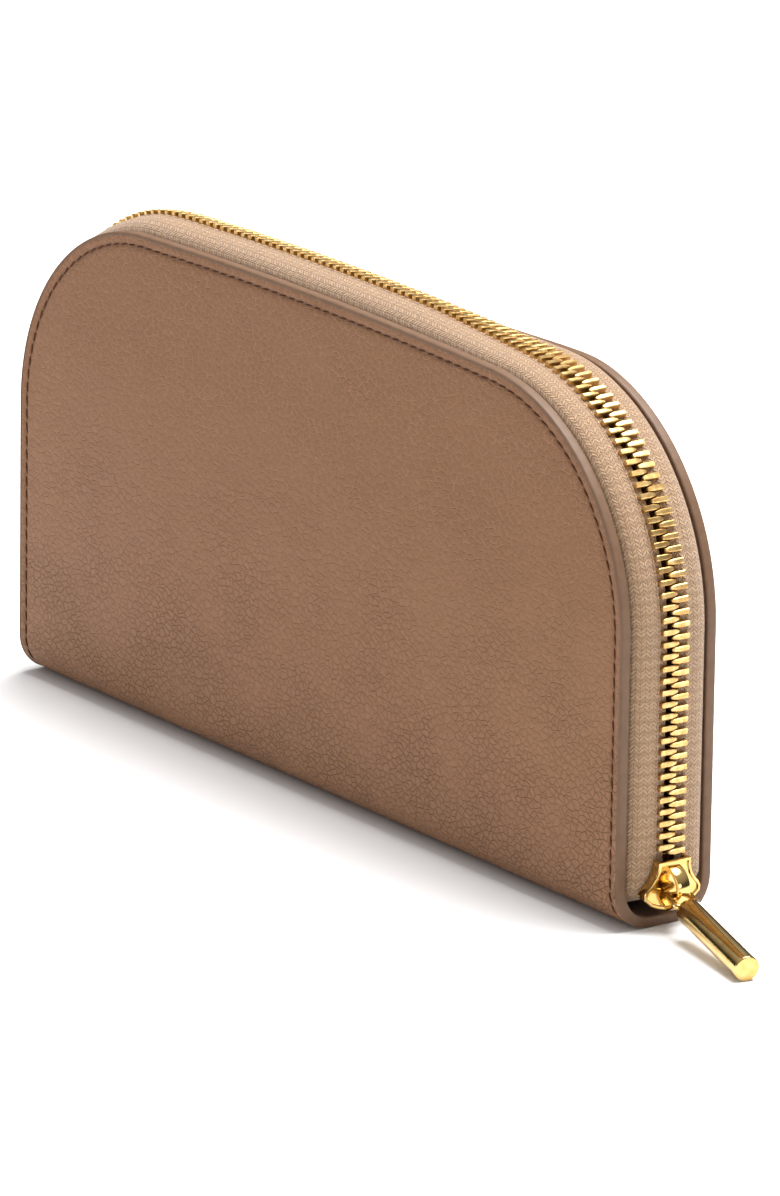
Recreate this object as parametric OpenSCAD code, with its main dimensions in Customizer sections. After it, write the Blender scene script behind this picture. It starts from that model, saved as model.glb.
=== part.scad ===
// Half-moon zip-around leather wallet standing on its bottom fold.
// Millimetres, +Z up. X runs along the width, Y through the thickness.
// The front half faces -Y, the rear half faces +Y, and the base is at z = 0.

/* [Body] */
// overall width of the leather
body_w = 195; // [170:1:210]
// overall height of the leather
body_h = 100; // [85:1:115]
// thickness over both panels
body_t = 22; // [18:0.5:28]
// radius of the two upper corners
corner_r = 43; // [30:1:48]
// how far the top edge rises between the corners
top_rise = 1.1; // [0.5:0.1:3]
// outside radius of the bottom fold
fold_r = 8; // [6:0.5:9]

/* [Leather] */
// outer leather thickness
leather_t = 1.3; // [1:0.1:1.8]
// backing glued behind the outer leather
backing_t = 0.85; // [0.5:0.05:1.2]
// depth of the painted edge, measured in from the outline
paint_t = 0.6; // [0.3:0.1:1]
// distance of the seam from the outline
seam_inset = 2.4; // [2:0.1:4]
// distance from one stitch to the next
stitch_pitch = 2.75; // [2:0.05:4]
// length of one stitch
stitch_len = 1.9; // [1.2:0.1:3]
// width of one stitch
stitch_w = 0.5; // [0.3:0.05:0.8]

/* [Zip] */
// thickness of the woven tape
tape_t = 0.45; // [0.3:0.05:0.8]
// how far the tape bulges past the outline
tape_bulge = 1.3; // [0.5:0.1:2.5]
// distance from one tooth to the next on one side
tooth_pitch = 2.3; // [2:0.05:3]
// reach of a tooth from the middle of the chain
tooth_reach = 3.05; // [2.5:0.05:3.5]
// thickness of the chain, outwards
tooth_t = 2.4; // [2:0.1:3]
// straight length the slider can travel
slide_len = 35; // [20:1:36]

/* [Slider] */
// height of the slider's lower tip above the base
slider_z = 4.2; // [3:0.1:8]
// length of the slider
slider_len = 9.6; // [8:0.1:12]
// half width of the outer plate at the wide end
slider_wide = 7.4; // [6.5:0.1:7.6]
// half width of the inner plate at the wide end
inner_wide = 5.8; // [5.6:0.1:6]
// half width at the throat
slider_throat = 3.9; // [3.7:0.1:4.5]
// thickness of each plate
plate_t = 0.9; // [0.7:0.1:1.2]
// outside radius of the bridge's arch
bridge_r = 4.8; // [4.6:0.05:4.8]
// width of the bridge's band
bridge_w = 2.4; // [2:0.1:3]

/* [Puller] */
// diameter of the bar
bar_d = 5; // [4:0.1:6]
// length of the bar
bar_len = 25.8; // [18:0.1:32]
// gap from the pin to the bar's near face
bar_start = 4.6; // [4.4:0.1:6]
// how far the bar droops below level
bar_droop = 9.1; // [0:0.1:12]
// how far the bar is turned towards the front
bar_turn = 14.06; // [0:0.1:16]
// radius of the loop's pin
pin_r = 0.65; // [0.5:0.05:0.7]

/* [Inside] */
// thickness of the lining
lining_t = 0.7; // [0.5:0.1:1]
// thickness of one card slot's leather
slot_t = 0.4; // [0.3:0.05:0.6]
// step from one card slot's edge to the next
slot_step = 11; // [8:1:14]
// height of the lowest card slot's edge
slot_low = 37; // [30:1:45]
// width of the centre pocket
pocket_w = 164; // [140:1:168]
// height of the centre pocket's edge
pocket_top = 80; // [60:1:82]

/* [Hidden] */

hw = body_w / 2;
ht = body_t / 2;
// corner arcs are centred at (+-corner_x, corner_z), the top arc at (0, crown_z)
corner_x = hw - corner_r;
corner_z = body_h - corner_r - top_rise;
crown_r = (corner_x * corner_x + top_rise * top_rise) / (2 * top_rise) + corner_r;
crown_z = body_h - crown_r;
crown_a = atan2(corner_z - crown_z, corner_x);
sheet_t = leather_t + backing_t;
fold_flat = ht - fold_r;
inner_y = ht - sheet_t;
// path followed by the middle of the tape
path_g = tape_bulge - tape_t / 2;
run_z = slider_z + slider_len + 0.9;
run_n = ceil((slide_len + 1) / tooth_pitch);
arch_z0 = run_z + run_n * tooth_pitch;
left_z = 9;
bridge_z = slider_z + 4.7;
plate_o = path_g + tooth_t / 2 + 0.2;
pivot_x = hw + plate_o + plate_t + 1.4;
pivot_z = slider_z + 3.1;
gap_half = bridge_w / 2 + 0.75;

leather = [0.60, 0.46, 0.37];
paint = [0.54, 0.43, 0.34];
thread = [0.33, 0.21, 0.14];
weave = [0.72, 0.58, 0.45];
brass = [0.83, 0.66, 0.30];
inside = [0.50, 0.38, 0.30];

$fn = 96;

// ---- shared shapes -------------------------------------------------------

// outline of one half seen from the front, grown by g, cut off below low
module outline(g, low) {
    xt = corner_x * (crown_r + g) / (crown_r - corner_r);
    translate([-hw - g, low]) square([2 * (hw + g), corner_z - low]);
    for (s = [-1, 1]) translate([s * corner_x, corner_z]) circle(r = corner_r + g);
    intersection() {
        translate([0, crown_z]) circle(r = crown_r + g, $fn = 720);
        translate([-xt, corner_z]) square([2 * xt, corner_r + top_rise + g + 1]);
    }
}

// stands a flat shape up between two Y positions
module upright(y0, y1) {
    translate([0, y1, 0]) rotate([90, 0, 0]) linear_extrude(y1 - y0) children();
}

// runs a Y-Z section along X
module along_x(x0, x1) {
    translate([x0, 0, 0]) rotate([90, 0, 90]) linear_extrude(x1 - x0) children();
}

// section of the bottom fold, between two radii
module fold_section() {
    difference() {
        union() {
            for (s = [-1, 1]) translate([s * fold_flat, fold_r]) circle(r = fold_r);
            translate([-fold_flat, 0]) square([2 * fold_flat, 2 * fold_r]);
        }
        for (s = [-1, 1]) translate([s * fold_flat, fold_r]) circle(r = fold_r - sheet_t);
        translate([-fold_flat, sheet_t]) square([2 * fold_flat, 2 * (fold_r - sheet_t)]);
        translate([-ht - 1, fold_r]) square([body_t + 2, fold_r + 1]);
    }
}

// a seam's groove, cut into the outer face of a panel
module seam_groove() {
    difference() {
        outline(-seam_inset + stitch_w * 0.7, fold_r - 1);
        outline(-seam_inset - stitch_w * 0.7, fold_r - 2);
    }
}

// lengths of the path's stretches, for a path grown by g that starts at height z0
function side_len(z0) = corner_z - z0;
function bend_len(g) = (corner_r + g) * crown_a * PI / 180;
function top_len(g) = (crown_r + g) * (180 - 2 * crown_a) * PI / 180;
// [x, z, outward angle] at length s along the path, from the right side over to the left
function path_at(s, g, z0) =
    let (a = side_len(z0), b = a + bend_len(g), c = b + top_len(g), d = c + bend_len(g))
    s <= a ? [hw + g, z0 + s, 0] :
    s <= b ? let (t = (s - a) / (corner_r + g) * 180 / PI)
        [corner_x + (corner_r + g) * cos(t), corner_z + (corner_r + g) * sin(t), t] :
    s <= c ? let (t = crown_a + (s - b) / (crown_r + g) * 180 / PI)
        [(crown_r + g) * cos(t), crown_z + (crown_r + g) * sin(t), t] :
    s <= d ? let (t = 180 - crown_a + (s - c) / (corner_r + g) * 180 / PI)
        [-corner_x + (corner_r + g) * cos(t), corner_z + (corner_r + g) * sin(t), t] :
    [-hw - g, corner_z - (s - d), 180];
function path_len(g, z0, z1) = side_len(z0) + 2 * bend_len(g) + top_len(g) + corner_z - z1;

// puts a child on the path: its +X points outwards and its +Z along the path
module on_path(s, g, z0) {
    p = path_at(s, g, z0);
    translate([p[0], 0, p[1]]) rotate([0, -p[2], 0]) children();
}

module rear_side() { mirror([0, 1, 0]) children(); }

// ---- leather, written for the front half --------------------------------

module panel() {
    difference() {
        upright(-ht, -ht + leather_t) outline(-paint_t, fold_r);
        upright(-ht - 1, -ht + 0.3) seam_groove();
    }
}
module backing() {
    upright(-ht + leather_t, -inner_y) outline(-paint_t, fold_r);
}
module edge_paint() {
    upright(-ht, -inner_y) difference() {
        outline(0, fold_r);
        outline(-paint_t, fold_r - 1);
    }
}
module stitching() {
    total = path_len(-seam_inset, fold_r + 1, fold_r + 1);
    n = floor(total / stitch_pitch);
    for (i = [0 : n - 1])
        on_path((i + 0.5) * total / n, -seam_inset, fold_r + 1)
            translate([-stitch_w / 2, -ht, -stitch_len / 2])
                cube([stitch_w, 0.3, stitch_len]);
}
module lining() {
    upright(-inner_y + tape_t, -inner_y + tape_t + lining_t) outline(-4, fold_r + 2);
}
// card slot sheets lie one on the other, the lowest edge on the inside
module card_slot(i) {
    y0 = -inner_y + tape_t + lining_t + (4 - i) * slot_t;
    upright(y0, y0 + slot_t) intersection() {
        outline(-5, fold_r + 3);
        translate([-90, 0]) square([180, slot_low + (i - 1) * slot_step]);
    }
}

// ---- zip, written for the front half -------------------------------------

// section of the tape: x is outwards from the outline, y is the thickness direction
module tape_section() {
    b = tape_bulge;
    y0 = -inner_y;
    polygon([[-7, y0], [-0.9, y0], [-0.1, y0 + 0.3], [b - 0.45, y0 + 1.5], [b - 0.08, y0 + 3.2],
        [b, y0 + 5.4], [b, -1.4], [b - tape_t, -1.4], [b - tape_t, y0 + 5.5],
        [b - tape_t - 0.08, y0 + 3.4], [b - tape_t - 0.4, y0 + 1.9], [-0.5, y0 + 0.78],
        [-1.1, y0 + tape_t], [-7, y0 + tape_t]]);
}
module half_tape() {
    tape_low = fold_r + 0.2;
    mirror([1, 0, 0]) {
        translate([hw, 0, tape_low]) linear_extrude(corner_z - tape_low) tape_section();
        translate([corner_x, 0, corner_z]) rotate([90, 0, 0])
            rotate_extrude(angle = crown_a)
                translate([corner_r, 0]) mirror([0, 1]) tape_section();
    }
    translate([0, 0, crown_z]) rotate([90, 0, 0]) rotate([0, 0, 90])
        rotate_extrude(angle = 90 - crown_a, $fn = 720)
            translate([crown_r, 0]) mirror([0, 1]) tape_section();
}
module tape() {
    half_tape();
    mirror([1, 0, 0]) half_tape();
}
// one tooth: a clamp over the tape's edge and a head that tapers past the middle
module tooth() {
    translate([-tooth_t / 2, 0, 0]) rotate([90, 0, 90]) linear_extrude(tooth_t)
        polygon([[-tooth_reach, -0.5], [-tooth_reach + 0.3, -0.6], [-0.35, -0.6], [0.8, -0.3],
            [0.8, 0.3], [-0.35, 0.6], [-tooth_reach + 0.3, 0.6], [-tooth_reach, 0.5]]);
}
module teeth_run(shift) {
    for (i = [0 : run_n - 1])
        on_path((i + shift) * tooth_pitch, path_g, run_z) tooth();
}
module teeth_arch(shift) {
    total = path_len(path_g, arch_z0, left_z);
    n = floor(total / tooth_pitch);
    for (i = [0 : n - 1])
        on_path((i + shift) * tooth_pitch, path_g, arch_z0) tooth();
}

// ---- rear half -----------------------------------------------------------

module rear_panel() { color(leather) rear_side() panel(); }
module rear_backing() { color(inside) rear_side() backing(); }
module rear_edge_paint() { color(paint) rear_side() edge_paint(); }
module rear_stitching() { color(thread) rear_side() stitching(); }
module bottom_fold() {
    color(leather) along_x(-hw + paint_t, hw - paint_t) intersection() {
        fold_section();
        translate([-fold_flat, -1]) square([body_t, fold_r + 2]);
    }
}
module fold_edge_paint() {
    color(paint) for (x = [-hw, hw - paint_t]) along_x(x, x + paint_t) intersection() {
        fold_section();
        translate([-fold_flat, -1]) square([body_t, fold_r + 2]);
    }
}
// the sheet between the flat base and the front panel, which bends as the front opens
module front_fold() {
    color(leather) along_x(-hw, hw) intersection() {
        fold_section();
        translate([-fold_flat - body_t, -1]) square([body_t, fold_r + 2]);
    }
}
module rear_lining() { color(inside) rear_side() lining(); }
module rear_card_slot_1() { color(inside) rear_side() card_slot(1); }
module rear_card_slot_2() { color(inside) rear_side() card_slot(2); }
module rear_card_slot_3() { color(inside) rear_side() card_slot(3); }
module rear_card_slot_4() { color(inside) rear_side() card_slot(4); }
// the rear tape has a short tail that runs on down inside the slider
module rear_zip_tape() {
    color(weave) {
        rear_side() tape();
        translate([hw + tape_bulge - tape_t, 1.4, slider_z + 0.2])
            cube([tape_t, 1.6, fold_r - slider_z]);
    }
}
module rear_zip_teeth() { color(brass) rear_side() teeth_arch(0); }
module rear_teeth_run() { color(brass) rear_side() teeth_run(0); }
// small clamp on the tape's tail, which stops the slider at the closed end
module zip_end_stop() {
    color(brass) translate([hw + path_g - 0.9, 1.35, slider_z + 0.3]) cube([1.8, 1.6, 1.3]);
}
module pocket_wall(y0) {
    upright(y0, y0 + 0.5) translate([-pocket_w / 2, sheet_t])
        square([pocket_w, pocket_top - sheet_t]);
}
module pocket_rear_wall() {
    color(inside) {
        pocket_wall(0.9);
        for (x = [-pocket_w / 2, pocket_w / 2 - 0.5])
            translate([x, -0.9, sheet_t]) cube([0.5, 2, pocket_top - sheet_t - 6]);
    }
}
module pocket_front_wall() { color(inside) pocket_wall(-1.4); }

// ---- front half ----------------------------------------------------------

module front_panel() { color(leather) panel(); }
module front_backing() { color(inside) backing(); }
module front_edge_paint() { color(paint) edge_paint(); }
module front_stitching() { color(thread) stitching(); }
module front_lining() { color(inside) lining(); }
module front_card_slot_1() { color(inside) card_slot(1); }
module front_card_slot_2() { color(inside) card_slot(2); }
module front_card_slot_3() { color(inside) card_slot(3); }
module front_card_slot_4() { color(inside) card_slot(4); }
module front_zip_tape() { color(weave) tape(); }
module front_zip_teeth() { color(brass) teeth_arch(0.5); }
module front_teeth_run() { color(brass) teeth_run(0.5); }

// ---- slider --------------------------------------------------------------

// outline of a plate seen along X, drawn in Y-Z: straight throat, flared shoulders
module plate_shape(wide, g) {
    z = slider_z;
    t = slider_throat - g;
    w = wide - g;
    polygon([[-t, z + slider_len], [-t, z + 8], [-t - 0.6, z + 6.6], [-t - 1.2, z + 5.6],
        [-w + 0.4, z + 4.6], [-w, z + 3.6], [-w, z + 2.6], [-w + 1.6, z + 1.2], [-2.8, z + 0.3],
        [-1.2, z], [1.2, z], [2.8, z + 0.3], [w - 1.6, z + 1.2], [w, z + 2.6], [w, z + 3.6],
        [w - 0.4, z + 4.6], [t + 1.2, z + 5.6], [t + 0.6, z + 6.6], [t, z + 8],
        [t, z + slider_len]]);
}
// the two side walls of a plate, open for the chain at the throat and at the wide end
module side_walls(wide) {
    intersection() {
        difference() { plate_shape(wide, 0); plate_shape(wide, 0.7); }
        translate([-8, slider_z + 2.6]) square([16, slider_len]);
    }
}
module slider_body() {
    o0 = hw + path_g - tooth_t / 2 - 0.2;
    o1 = hw + plate_o;
    color(brass) {
        along_x(o1, o1 + plate_t) plate_shape(slider_wide, 0);
        along_x(hw + path_g + 0.6, o1) side_walls(slider_wide);
        along_x(o0 - plate_t, o0) plate_shape(inner_wide, 0);
        along_x(o0, hw + path_g - 0.6) side_walls(inner_wide);
        // the wedge between the plates
        along_x(o0, o1) polygon([[0, slider_z + 6.2], [-1.15, slider_z + 4.4],
            [-1.15, slider_z + 2], [0, slider_z + 1], [1.15, slider_z + 2],
            [1.15, slider_z + 4.4]]);
    }
}
module slider_bridge() {
    o = hw + plate_o + plate_t;
    color(brass) translate([0, bridge_w / 2, 0]) rotate([90, 0, 0]) linear_extrude(bridge_w)
        intersection() {
            translate([o - 1.15, bridge_z]) difference() {
                circle(r = bridge_r);
                circle(r = bridge_r - 0.9);
            }
            translate([o, bridge_z - 6]) square([8, 12]);
        }
}

// ---- puller --------------------------------------------------------------

// its own frame: the pin lies on Y at the origin and the bar runs out along X
module puller_place() {
    translate([pivot_x, 0, pivot_z]) rotate([0, 0, -bar_turn]) rotate([0, bar_droop, 0])
        children();
}
module puller_loop() {
    color(brass) puller_place() {
        rotate([90, 0, 0]) translate([0, 0, -gap_half - 0.9])
            cylinder(r = pin_r, h = 2 * gap_half + 1.8);
        for (s = [-1, 1]) translate([0, s > 0 ? gap_half : -gap_half - 0.9, -pin_r])
            cube([bar_start, 0.9, 2 * pin_r]);
        translate([bar_start - 0.7, -gap_half - 0.1, -pin_r])
            cube([0.7, 2 * gap_half + 0.2, 2 * pin_r]);
    }
}
module puller_bar() {
    color(brass) puller_place() rotate([0, 90, 0]) rotate_extrude()
        polygon([[0, bar_start], [bar_d / 2 - 0.8, bar_start], [bar_d / 2, bar_start + 0.8],
            [bar_d / 2, bar_start + bar_len - 0.25], [bar_d / 2 - 0.25, bar_start + bar_len],
            [0, bar_start + bar_len]]);
}

// ---- drawing -------------------------------------------------------------

rear_panel();
rear_backing();
rear_edge_paint();
rear_stitching();
bottom_fold();
fold_edge_paint();
front_fold();
rear_lining();
rear_card_slot_1();
rear_card_slot_2();
rear_card_slot_3();
rear_card_slot_4();
rear_zip_tape();
rear_zip_teeth();
rear_teeth_run();
zip_end_stop();
pocket_rear_wall();
pocket_front_wall();
front_panel();
front_backing();
front_edge_paint();
front_stitching();
front_lining();
front_card_slot_1();
front_card_slot_2();
front_card_slot_3();
front_card_slot_4();
front_zip_tape();
front_zip_teeth();
front_teeth_run();
slider_body();
slider_bridge();
puller_loop();
puller_bar();
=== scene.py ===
import math

import bmesh
import bpy
from mathutils import Matrix, Vector


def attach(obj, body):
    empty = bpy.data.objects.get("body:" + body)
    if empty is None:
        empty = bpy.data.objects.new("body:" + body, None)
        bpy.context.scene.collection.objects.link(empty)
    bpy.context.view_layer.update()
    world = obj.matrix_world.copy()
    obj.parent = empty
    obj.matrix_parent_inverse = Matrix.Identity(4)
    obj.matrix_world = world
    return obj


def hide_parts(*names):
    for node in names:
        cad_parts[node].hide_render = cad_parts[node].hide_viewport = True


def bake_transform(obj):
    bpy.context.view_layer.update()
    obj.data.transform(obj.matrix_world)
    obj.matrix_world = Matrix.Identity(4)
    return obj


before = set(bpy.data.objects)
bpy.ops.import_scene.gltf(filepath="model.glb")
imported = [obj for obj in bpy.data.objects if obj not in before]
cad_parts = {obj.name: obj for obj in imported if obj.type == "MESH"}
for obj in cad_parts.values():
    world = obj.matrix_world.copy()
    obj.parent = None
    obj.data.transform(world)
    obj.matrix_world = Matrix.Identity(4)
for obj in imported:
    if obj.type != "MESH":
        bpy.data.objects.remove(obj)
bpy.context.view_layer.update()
scene = bpy.context.scene
mm = 0.001  # pieces are shaped in millimetres and scaled when they are finished

wallet = {
    "width": 195.0,
    "height": 100.0,
    "depth": 22.0,
    "cornerRadius": 43.0,
    "topRise": 1.1,       # how far the top edge rises between the corners
    "foldRadius": 8.0,
    "leather": 1.3,
    "backing": 0.85,
    "seamInset": 2.4,
}

halfWidth = wallet["width"] / 2
halfDepth = wallet["depth"] / 2
cornerRadius = wallet["cornerRadius"]
foldRadius = wallet["foldRadius"]
sheetThick = wallet["leather"] + wallet["backing"]
innerY = halfDepth - sheetThick
cornerX = halfWidth - cornerRadius
cornerZ = wallet["height"] - cornerRadius - wallet["topRise"]
crownRadius = (cornerX ** 2 + wallet["topRise"] ** 2) / (2 * wallet["topRise"]) + cornerRadius
crownZ = wallet["height"] - crownRadius
crownTurn = math.atan2(cornerZ - crownZ, cornerX)
foldFlat = halfDepth - foldRadius
foldLength = math.pi / 2 * foldRadius
flatShift = foldFlat + foldLength - foldRadius  # height z lies at z + flatShift on the flat sheet


# ---- camera, light and floor

cameraSettings = {
    "place": (1.568119, -1.152788, 0.635966),
    "yaw": -0.9334743,
    "pitch": 0.2979051,
    "roll": 0.0143210,
    "lens": 321.1,
}


def makeCamera(settings):
    yaw, pitch, roll = settings["yaw"], settings["pitch"], settings["roll"]
    ahead = Vector((math.sin(yaw) * math.cos(pitch), math.cos(yaw) * math.cos(pitch), -math.sin(pitch)))
    level = Vector((math.cos(yaw), -math.sin(yaw), 0))
    upright = level.cross(ahead)
    across = level * math.cos(roll) + upright * math.sin(roll)
    up = upright * math.cos(roll) - level * math.sin(roll)
    data = bpy.data.cameras.new("studioCamera")
    data.lens = settings["lens"]
    data.sensor_width = 36
    data.clip_end = 100
    camera = bpy.data.objects.new("studioCamera", data)
    camera.matrix_world = Matrix.Translation(settings["place"]) @ Matrix(
        (across, up, -ahead)).transposed().to_4x4()
    scene.collection.objects.link(camera)
    scene.camera = camera


lamps = {
    "keyLamp": {"place": (0.1, 0.42, 1.5), "aim": (0, 0, 0), "size": 1.3, "power": 62},
    "sideLamp": {"place": (2.0, 0.5, 0.45), "aim": (0.05, 0, 0.05), "size": 0.6, "power": 5},
    "frontLamp": {"place": (-1.2, -1.9, 0.36), "aim": (0, 0, 0.05), "size": 0.7, "power": 8},
}


def makeLamp(name, settings):
    data = bpy.data.lights.new(name, "AREA")
    data.shape = "DISK"
    data.size = settings["size"]
    data.energy = settings["power"]
    lamp = bpy.data.objects.new(name, data)
    place = Vector(settings["place"])
    turn = (place - Vector(settings["aim"])).to_track_quat("Z", "Y")
    lamp.matrix_world = Matrix.Translation(place) @ turn.to_matrix().to_4x4()
    scene.collection.objects.link(lamp)


def fillSocket(tree, socket, value):
    if isinstance(value, bpy.types.NodeSocket):
        tree.links.new(value, socket)
    else:
        socket.default_value = value


def addNode(tree, kind, inputs=None, **settings):
    node = tree.nodes.new(kind)
    for key, value in settings.items():
        setattr(node, key, value)
    for key, value in (inputs or {}).items():
        fillSocket(tree, node.inputs[key], value)
    return node


def addMath(tree, operation, first, second=None, third=None):
    inputs = {0: first}
    if second is not None:
        inputs[1] = second
    if third is not None:
        inputs[2] = third
    return addNode(tree, "ShaderNodeMath", inputs, operation=operation).outputs[0]


def linear(red, green, blue):
    def one(value):
        value /= 255
        return value / 12.92 if value <= 0.04045 else ((value + 0.055) / 1.055) ** 2.4
    return (one(red), one(green), one(blue), 1.0)


def setStops(node, stops):
    ramp = node.color_ramp
    while len(ramp.elements) < len(stops):
        ramp.elements.new(0.5)
    for element, (position, color) in zip(ramp.elements, stops):
        element.position = position
        element.color = color


def mixColor(tree, share, first, second):
    # sockets 0, 6 and 7 are the share and the two colours, and output 2 is the mixed colour
    node = addNode(tree, "ShaderNodeMix", {0: share, 6: first, 7: second}, data_type="RGBA")
    return node.outputs[2]


def makeWorld():
    # a pale studio: bright overhead, dimmer towards the horizon for depth in the metal
    world = bpy.data.worlds.new("studio")
    world.use_nodes = True
    tree = world.node_tree
    tree.nodes.clear()
    direction = addNode(tree, "ShaderNodeTexCoord").outputs["Generated"]
    height = addNode(tree, "ShaderNodeSeparateXYZ", {0: direction}).outputs["Z"]
    ramp = addNode(tree, "ShaderNodeValToRGB", {0: height})
    setStops(ramp, [(0.0, (0.05, 0.05, 0.05, 1)), (0.22, (0.09, 0.09, 0.09, 1)),
                    (0.50, (0.6, 0.6, 0.61, 1)), (0.95, (1.1, 1.1, 1.1, 1))])
    dome = addNode(tree, "ShaderNodeBackground", {"Color": ramp.outputs[0], "Strength": 0.75})
    white = addNode(tree, "ShaderNodeBackground", {"Color": (1, 1, 1, 1), "Strength": 1.1})
    seen = addNode(tree, "ShaderNodeLightPath").outputs["Is Camera Ray"]
    mixed = addNode(tree, "ShaderNodeMixShader",
                    {0: seen, 1: dome.outputs[0], 2: white.outputs[0]})
    addNode(tree, "ShaderNodeOutputWorld", {"Surface": mixed.outputs[0]})
    scene.world = world


def newFinish(name, color, roughness, **sockets):
    material = bpy.data.materials.new(name)
    material.use_nodes = True
    tree = material.node_tree
    shader = tree.nodes["Principled BSDF"]
    shader.inputs["Base Color"].default_value = color
    shader.inputs["Roughness"].default_value = roughness
    for key, value in sockets.items():
        shader.inputs[key.replace("_", " ")].default_value = value
    return material, tree, shader


def makeFloor():
    bm = bmesh.new()
    bmesh.ops.create_circle(bm, cap_ends=True, segments=64, radius=14)
    mesh = bpy.data.meshes.new("studioFloor")
    bm.to_mesh(mesh)
    bm.free()
    floor = bpy.data.objects.new("studioFloor", mesh)
    scene.collection.objects.link(floor)
    finish = newFinish("paleFloor", (0.9, 0.9, 0.9, 1), 0.9, Specular_IOR_Level=0.05)
    mesh.materials.append(finish[0])


makeCamera(cameraSettings)
for lampName, lampSettings in lamps.items():
    makeLamp(lampName, lampSettings)
makeWorld()
makeFloor()
scene.view_settings.view_transform = "Standard"
print("studio ready")


# ---- finishes

perMetre = 1000.0  # patterns are laid out in millimetres


def objectPlace(tree):
    place = addNode(tree, "ShaderNodeTexCoord").outputs["Object"]
    return addNode(tree, "ShaderNodeMapping",
                   {"Vector": place, "Scale": (perMetre, perMetre, perMetre)}).outputs[0]


def mapPlace(tree):
    place = addNode(tree, "ShaderNodeUVMap", uv_map="flat").outputs["UV"]
    return addNode(tree, "ShaderNodeMapping",
                   {"Vector": place, "Scale": (perMetre, perMetre, 1)}).outputs[0]


def noiseValue(tree, place, scale, detail=2.0, roughness=0.5):
    node = addNode(tree, "ShaderNodeTexNoise",
                   {"Vector": place, "Scale": scale, "Detail": detail, "Roughness": roughness})
    return node.outputs["Fac"]


def mapRange(tree, value, low, high, outLow=0.0, outHigh=1.0):
    return addNode(tree, "ShaderNodeMapRange",
                   {"Value": value, "From Min": low, "From Max": high,
                    "To Min": outLow, "To Max": outHigh}).outputs["Result"]


def addBump(tree, shader, height, distance):
    bump = addNode(tree, "ShaderNodeBump",
                   {"Height": height, "Distance": distance, "Strength": 1.0}).outputs[0]
    tree.links.new(bump, shader.inputs["Normal"])


pebbled = {
    "color": linear(125, 86, 57),
    "deep": linear(92, 60, 38),
    "pale": linear(134, 95, 65),
    # painted light: the leather is painted lighter towards the base, standing in for light from below
    "paintedBaseLight": linear(146, 107, 78),
    # crease lines near the top take this pale painted highlight; near the base they take the deep
    # colour as painted shade
    "crease": linear(160, 119, 88),
    # painted shade colour for the seam's groove
    "seam": linear(74, 46, 31),
    "cellsPerMm": 0.62,
    "creaseDepth": 0.00042,
    "baseReach": (18.0, 82.0),   # near the base, along the flat sheet, the grain is deeper and the colour is painted lighter as painted light
    "topRelief": 0.45,
    "roughness": 0.56,
}


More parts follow.
